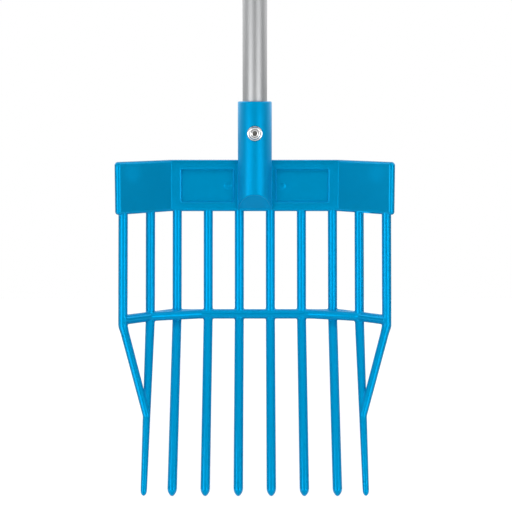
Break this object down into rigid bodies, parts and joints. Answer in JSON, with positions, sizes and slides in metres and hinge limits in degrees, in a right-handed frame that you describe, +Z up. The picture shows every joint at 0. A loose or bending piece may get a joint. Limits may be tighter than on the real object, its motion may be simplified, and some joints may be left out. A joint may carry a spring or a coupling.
{
  "type": "manure fork",
  "caption": "Hand fork for mucking out: moulded blue plastic head with a folded wall, round tines bent forwards and a cross bar, bolted to a straight aluminium tube handle with a hanging eye.",
  "frame": {"origin": "centre of the hanging hole in the handle's end cap, on the handle's axis", "axes": "+Z up along the handle, -Y to the scooping side, +X to the right seen from that side"},
  "size_m": [0.3142, 0.129, 1.4757],
  "materials": {
    "blue_plastic": "satin-gloss injection moulded plastic",
    "aluminium_tube": "drawn tube, satin",
    "black_plastic": "fine grained",
    "bright_steel": "bright plated",
    "zinc_steel": "zinc plated",
    "nylon": "plain"
  },
  "bodies": {
    "root": {"fork_head": "blue_plastic", "handle_tube": "aluminium_tube", "end_cap": "black_plastic", "bolt": "bright_steel", "rear_washer": "zinc_steel", "lock_nut": "zinc_steel", "nut_ring": "nylon"}
  },
  "joints": []
}
